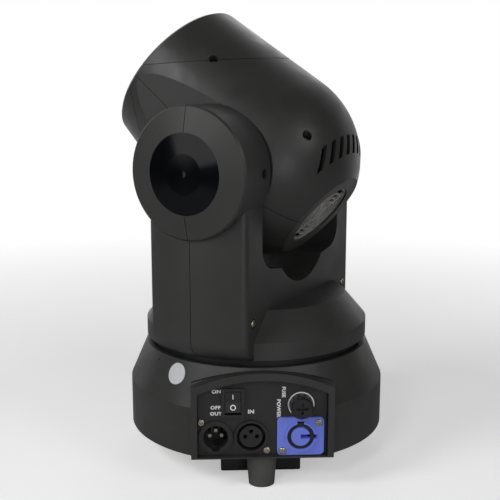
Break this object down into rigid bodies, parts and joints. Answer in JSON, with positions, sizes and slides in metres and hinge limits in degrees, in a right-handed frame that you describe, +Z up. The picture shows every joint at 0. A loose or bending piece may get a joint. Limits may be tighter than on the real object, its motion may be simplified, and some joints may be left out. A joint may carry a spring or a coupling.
{
  "type": "moving head light",
  "caption": "Compact moving head spot light: a round base with a rear connector panel carries a panning forked yoke and a tilting lamp head.",
  "frame": {"origin": "on the pan axis, at the floor the rubber feet stand on", "axes": "+Z up along the pan axis; -Y out of the connector panel; +X to the right when facing that panel"},
  "size_m": [0.1886, 0.1986, 0.315],
  "materials": {
    "housing": "matt moulded charcoal plastic",
    "head_housing": "matt moulded charcoal plastic",
    "collar": "matt black plastic",
    "panel": "fine matt black powder coat",
    "socket": "smooth black plastic",
    "pins": "silver-plated contacts",
    "inlet": "semi-gloss blue plastic",
    "fuse": "smooth black plastic",
    "switch": "semi-gloss black plastic",
    "display": "dark tinted window",
    "circuit_board": "green solder mask",
    "button": "satin grey plastic",
    "bearing": "ground steel",
    "steel_sheet": "zinc-plated steel",
    "wheel": "turned aluminium",
    "motor": "black painted motor case",
    "belt": "black toothed belt",
    "feet": "matt grey-black rubber",
    "bracket": "fine black powder coat",
    "badge": "glossy black inlay",
    "screws": "nickel-plated steel",
    "optic": "clear lens",
    "optic_trim": "matt black plastic",
    "sink": "extruded aluminium",
    "led": "yellow phosphor on a white board",
    "fan": "black plastic",
    "grille": "light grey coated wire"
  },
  "bodies": {
    "base": {"base_shell": "housing", "base_plate": "steel_sheet", "rubber_feet": "feet", "hanging_bracket": "bracket", "connector_panel": "panel", "output_socket": "socket", "output_pins": "pins", "input_socket": "socket", "power_inlet": "inlet", "fuse_holder": "fuse", "switch_frame": "switch", "display_frame": "switch", "display_window": "display", "menu_board": "circuit_board", "pan_bearing": "bearing", "pan_collar": "collar", "pan_motor": "motor", "pan_belt": "belt", "power_supply": "steel_sheet", "control_board": "circuit_board", "panel_screws": "screws"},
    "yoke": {"turntable_cover": "housing", "yoke_shell_front": "housing", "yoke_shell_back": "housing", "hub_badge_left": "badge", "hub_badge_right": "badge", "yoke_frame": "steel_sheet", "pan_wheel": "wheel", "tilt_bearings": "bearing", "tilt_motor": "motor", "tilt_belt": "belt", "yoke_screws": "screws"},
    "head": {"hood_upper": "head_housing", "hood_lower": "head_housing", "head_shell_upper": "head_housing", "head_shell_lower": "head_housing", "lens": "optic", "lens_ring": "optic_trim", "optic_barrel": "optic_trim", "heat_sink": "sink", "led_module": "led", "head_chassis": "steel_sheet", "tilt_journals": "bearing", "tilt_wheel": "wheel", "fan_frame": "fan", "fan_grille": "grille", "head_screws": "screws"},
    "pan_pinion": {"pan_pinion": "wheel"},
    "tilt_pinion": {"tilt_pinion": "wheel"},
    "fan": {"fan_rotor": "fan"},
    "rocker": {"switch_rocker": "switch"},
    "fuse_cap": {"fuse_cap": "fuse"},
    "key_1": {"menu_key_1": "button"},
    "key_2": {"menu_key_2": "button"},
    "key_3": {"menu_key_3": "button"},
    "key_4": {"menu_key_4": "button"}
  },
  "joints": [
    {"name": "pan", "type": "hinge", "parent": "base", "child": "yoke", "pos_m": [0, 0, 0.0957], "axis": [0, 0, 1], "range_deg": [-270, 270]},
    {"name": "tilt", "type": "hinge", "parent": "yoke", "child": "head", "pos_m": [0, 0, 0.2105], "axis": [-0.5299, -0.848, 0], "range_deg": [-150, 60]},
    {"name": "pan_pinion_turn", "type": "hinge", "parent": "base", "child": "pan_pinion", "pos_m": [-0.058, 0.008, 0.0617], "axis": [0, 0, 1], "range_deg": [-1355, 1355]},
    {"name": "tilt_pinion_turn", "type": "hinge", "parent": "yoke", "child": "tilt_pinion", "pos_m": [0.04133, 0.06615, 0.1485], "axis": [-0.5299, -0.848, 0], "range_deg": [-470.75, 189.5]},
    {"name": "fan_spin", "type": "hinge", "parent": "head", "child": "fan", "pos_m": [0.00354, -0.00221, 0.21548], "axis": [-0.6496, 0.4059, 0.6428], "continuous": true},
    {"name": "rocker_tip", "type": "hinge", "parent": "base", "child": "rocker", "pos_m": [-0.0195, -0.078, 0.0604], "axis": [1, 0, 0], "range_deg": [0, 16]},
    {"name": "fuse_cap_turn", "type": "hinge", "parent": "base", "child": "fuse_cap", "pos_m": [0.0254, -0.082, 0.0588], "axis": [0, -1, 0], "range_deg": [0, 90]},
    {"name": "key_1_press", "type": "slide", "parent": "base", "child": "key_1", "axis": [0, -1, 0], "range_m": [0, 0.001], "stiffness_N_per_m": 300},
    {"name": "key_2_press", "type": "slide", "parent": "base", "child": "key_2", "axis": [0, -1, 0], "range_m": [0, 0.001], "stiffness_N_per_m": 300},
    {"name": "key_3_press", "type": "slide", "parent": "base", "child": "key_3", "axis": [0, -1, 0], "range_m": [0, 0.001], "stiffness_N_per_m": 300},
    {"name": "key_4_press", "type": "slide", "parent": "base", "child": "key_4", "axis": [0, -1, 0], "range_m": [0, 0.001], "stiffness_N_per_m": 300}
  ],
  "couplings": [
    {"joint": "pan_pinion_turn", "follows": "pan", "ratio": 5},
    {"joint": "tilt_pinion_turn", "follows": "tilt", "ratio": 3.125}
  ]
}
